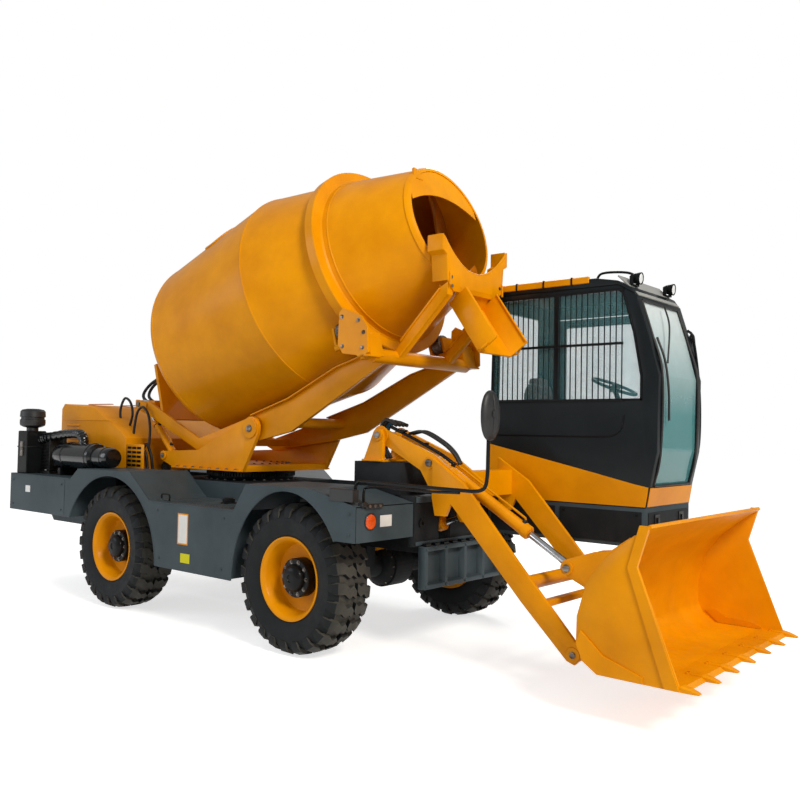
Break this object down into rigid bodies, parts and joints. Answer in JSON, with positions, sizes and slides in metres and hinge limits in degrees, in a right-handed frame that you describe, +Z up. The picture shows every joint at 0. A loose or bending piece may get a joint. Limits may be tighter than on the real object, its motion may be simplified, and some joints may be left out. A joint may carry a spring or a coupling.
{
  "type": "self-loading concrete mixer",
  "caption": "Wheeled concrete mixer that loads itself: a tilted drum on a turntable, a front loader bucket beside a glazed cab, and a rear engine.",
  "frame": {"origin": "centre of the bounding box at ground level", "axes": "+X forwards to the bucket, +Y to the left, +Z up"},
  "size_m": [7.595, 2.63, 4.0946],
  "materials": {
    "yellow_paint": "gloss yellow paint on welded plate",
    "grey_paint": "satin blue-grey paint on folded plate",
    "cab_paint": "satin anthracite paint on pressed panels",
    "dark_steel": "dull dark grey paint on forged and welded steel",
    "black_steel": "semi-matt black paint on steel bar and ring",
    "cast_engine": "painted as-cast iron",
    "rod_chrome": "ground and hard chromed",
    "tyre": "moulded tread rubber",
    "glass": "green-tinted safety glass",
    "seat_cloth": "woven seat cloth over foam",
    "black_plastic": "grained moulded plastic",
    "lamp_plastic": "clear and orange moulded lenses"
  },
  "bodies": {
    "chassis": {"chassis_frame": "dark_steel", "deck_plates": "dark_steel", "slew_ring": "black_steel", "right_guard": "grey_paint", "left_guard": "grey_paint", "tail_plate": "grey_paint", "front_rack": "grey_paint", "front_axle": "dark_steel", "rear_axle": "dark_steel", "engine_block": "cast_engine", "side_grilles": "yellow_paint", "air_cleaner": "black_plastic", "oil_cooler": "black_plastic", "loader_tower": "yellow_paint", "cab_base": "grey_paint", "cab_shell": "cab_paint", "cab_roof": "cab_paint", "windscreen": "glass", "side_glass": "glass", "rear_glass": "glass", "window_guard": "black_steel", "seat": "seat_cloth", "console": "black_plastic", "steering_wheel": "black_plastic", "right_mirror": "black_plastic", "left_mirror": "black_plastic", "lamps": "lamp_plastic"},
    "hood": {"engine_hood": "yellow_paint"},
    "door": {"cab_door": "cab_paint", "door_glass": "glass"},
    "boom": {"loader_boom": "yellow_paint"},
    "lift_tube": {"lift_barrel": "yellow_paint"},
    "lift_stem": {"lift_rod": "rod_chrome"},
    "bucket_body": {"bucket": "yellow_paint", "bucket_teeth": "yellow_paint"},
    "bucket_tube": {"bucket_cylinder_barrel": "yellow_paint"},
    "bucket_stem": {"bucket_cylinder_rod": "rod_chrome"},
    "turntable": {"slew_base": "yellow_paint"},
    "tilt_tubes": {"drum_tilt_barrel": "yellow_paint"},
    "tilt_stems": {"drum_tilt_rod": "rod_chrome"},
    "cradle": {"drum_frame": "yellow_paint", "drum_gearbox": "dark_steel", "hopper": "yellow_paint", "chute": "yellow_paint"},
    "drum": {"drum_shell": "yellow_paint"},
    "roller_right": {"right_roller": "dark_steel"},
    "roller_left": {"left_roller": "dark_steel"},
    "front_right_steer": {"front_right_knuckle": "dark_steel"},
    "front_right_wheel": {"front_right_rim": "yellow_paint", "front_right_tyre": "tyre"},
    "front_left_steer": {"front_left_knuckle": "dark_steel"},
    "front_left_wheel": {"front_left_rim": "yellow_paint", "front_left_tyre": "tyre"},
    "rear_right_steer": {"rear_right_knuckle": "dark_steel"},
    "rear_right_wheel": {"rear_right_rim": "yellow_paint", "rear_right_tyre": "tyre"},
    "rear_left_steer": {"rear_left_knuckle": "dark_steel"},
    "rear_left_wheel": {"rear_left_rim": "yellow_paint", "rear_left_tyre": "tyre"}
  },
  "joints": [
    {"name": "front_right_turn", "type": "hinge", "parent": "chassis", "child": "front_right_steer", "pos_m": [0.675, -0.8, 0.585], "axis": [0, 0, 1], "range_deg": [-24, 24]},
    {"name": "front_right_roll", "type": "hinge", "parent": "front_right_steer", "child": "front_right_wheel", "pos_m": [0.675, -1.02, 0.585], "axis": [0, 1, 0], "continuous": true},
    {"name": "front_left_turn", "type": "hinge", "parent": "chassis", "child": "front_left_steer", "pos_m": [0.675, 0.8, 0.585], "axis": [0, 0, 1], "range_deg": [-24, 24]},
    {"name": "front_left_roll", "type": "hinge", "parent": "front_left_steer", "child": "front_left_wheel", "pos_m": [0.675, 1.02, 0.585], "axis": [0, 1, 0], "continuous": true},
    {"name": "rear_right_turn", "type": "hinge", "parent": "chassis", "child": "rear_right_steer", "pos_m": [-1.84, -0.8, 0.585], "axis": [0, 0, 1], "range_deg": [-24, 24]},
    {"name": "rear_right_roll", "type": "hinge", "parent": "rear_right_steer", "child": "rear_right_wheel", "pos_m": [-1.84, -1.02, 0.585], "axis": [0, 1, 0], "continuous": true},
    {"name": "rear_left_turn", "type": "hinge", "parent": "chassis", "child": "rear_left_steer", "pos_m": [-1.84, 0.8, 0.585], "axis": [0, 0, 1], "range_deg": [-24, 24]},
    {"name": "rear_left_roll", "type": "hinge", "parent": "rear_left_steer", "child": "rear_left_wheel", "pos_m": [-1.84, 1.02, 0.585], "axis": [0, 1, 0], "continuous": true},
    {"name": "hood_lift", "type": "hinge", "parent": "chassis", "child": "hood", "pos_m": [-3.755, 0, 1.27], "axis": [0, -1, 0], "range_deg": [0, 50]},
    {"name": "door_swing", "type": "hinge", "parent": "chassis", "child": "door", "pos_m": [1.643, 1.25, 1.9], "axis": [0, 0, 1], "range_deg": [0, 100]},
    {"name": "boom_lift", "type": "hinge", "parent": "chassis", "child": "boom", "pos_m": [1.055, -0.43, 1.71], "axis": [0, -1, 0], "range_deg": [-5, 70]},
    {"name": "lift_tube_swing", "type": "hinge", "parent": "chassis", "child": "lift_tube", "pos_m": [0.515, -0.2, 0.7], "axis": [0, -1, 0], "range_deg": [-3, 28]},
    {"name": "lift_stem_slide", "type": "slide", "parent": "lift_tube", "child": "lift_stem", "axis": [0.9466, 0, 0.3224], "range_m": [-0.06, 0.71]},
    {"name": "bucket_tip", "type": "hinge", "parent": "boom", "child": "bucket_body", "pos_m": [2.815, 0, 0.28], "axis": [0, 1, 0], "range_deg": [-20, 50]},
    {"name": "bucket_tube_swing", "type": "hinge", "parent": "boom", "child": "bucket_tube", "pos_m": [1.555, -0.43, 1.505], "axis": [0, -1, 0], "range_deg": [-4, 8]},
    {"name": "bucket_stem_slide", "type": "slide", "parent": "bucket_tube", "child": "bucket_stem", "axis": [0.8634, 0, -0.5045], "range_m": [-0.19, 0.45]},
    {"name": "drum_slew", "type": "hinge", "parent": "chassis", "child": "turntable", "pos_m": [-1.205, 0, 1.3], "axis": [0, 0, -1], "range_deg": [0, 250]},
    {"name": "drum_tip", "type": "hinge", "parent": "turntable", "child": "cradle", "pos_m": [-0.565, 0, 1.745], "axis": [0, 1, 0], "range_deg": [-5, 4]},
    {"name": "tilt_tube_swing", "type": "hinge", "parent": "turntable", "child": "tilt_tubes", "pos_m": [-1.925, 0, 1.456], "axis": [0, 1, 0], "range_deg": [-11, 9]},
    {"name": "tilt_stem_slide", "type": "slide", "parent": "tilt_tubes", "child": "tilt_stems", "axis": [-0.7207, 0, 0.6933], "range_m": [-0.11, 0.09]},
    {"name": "drum_spin", "type": "hinge", "parent": "cradle", "child": "drum", "pos_m": [-0.208, 0, 3.028], "axis": [0.9558, 0, 0.294], "continuous": true},
    {"name": "right_roller_spin", "type": "hinge", "parent": "cradle", "child": "roller_right", "pos_m": [0.7217, -0.64, 2.5565], "axis": [0.9558, 0, 0.294], "continuous": true},
    {"name": "left_roller_spin", "type": "hinge", "parent": "cradle", "child": "roller_left", "pos_m": [0.7217, 0.64, 2.5565], "axis": [0.9558, 0, 0.294], "continuous": true}
  ],
  "couplings": [
    {"joint": "front_left_turn", "follows": "front_right_turn", "ratio": 1},
    {"joint": "rear_left_turn", "follows": "rear_right_turn", "ratio": 1},
    {"joint": "lift_tube_swing", "follows": "boom_lift", "ratio": 0.3854},
    {"joint": "lift_stem_slide", "follows": "boom_lift", "m_per_rad": 0.5705},
    {"joint": "bucket_tube_swing", "follows": "bucket_tip", "ratio": 0.135},
    {"joint": "bucket_stem_slide", "follows": "bucket_tip", "m_per_rad": 0.4813},
    {"joint": "tilt_tube_swing", "follows": "drum_tip", "ratio": 2.06},
    {"joint": "tilt_stem_slide", "follows": "drum_tip", "m_per_rad": 1.14},
    {"joint": "right_roller_spin", "follows": "drum_spin", "ratio": -9.6667},
    {"joint": "left_roller_spin", "follows": "drum_spin", "ratio": -9.6667}
  ]
}
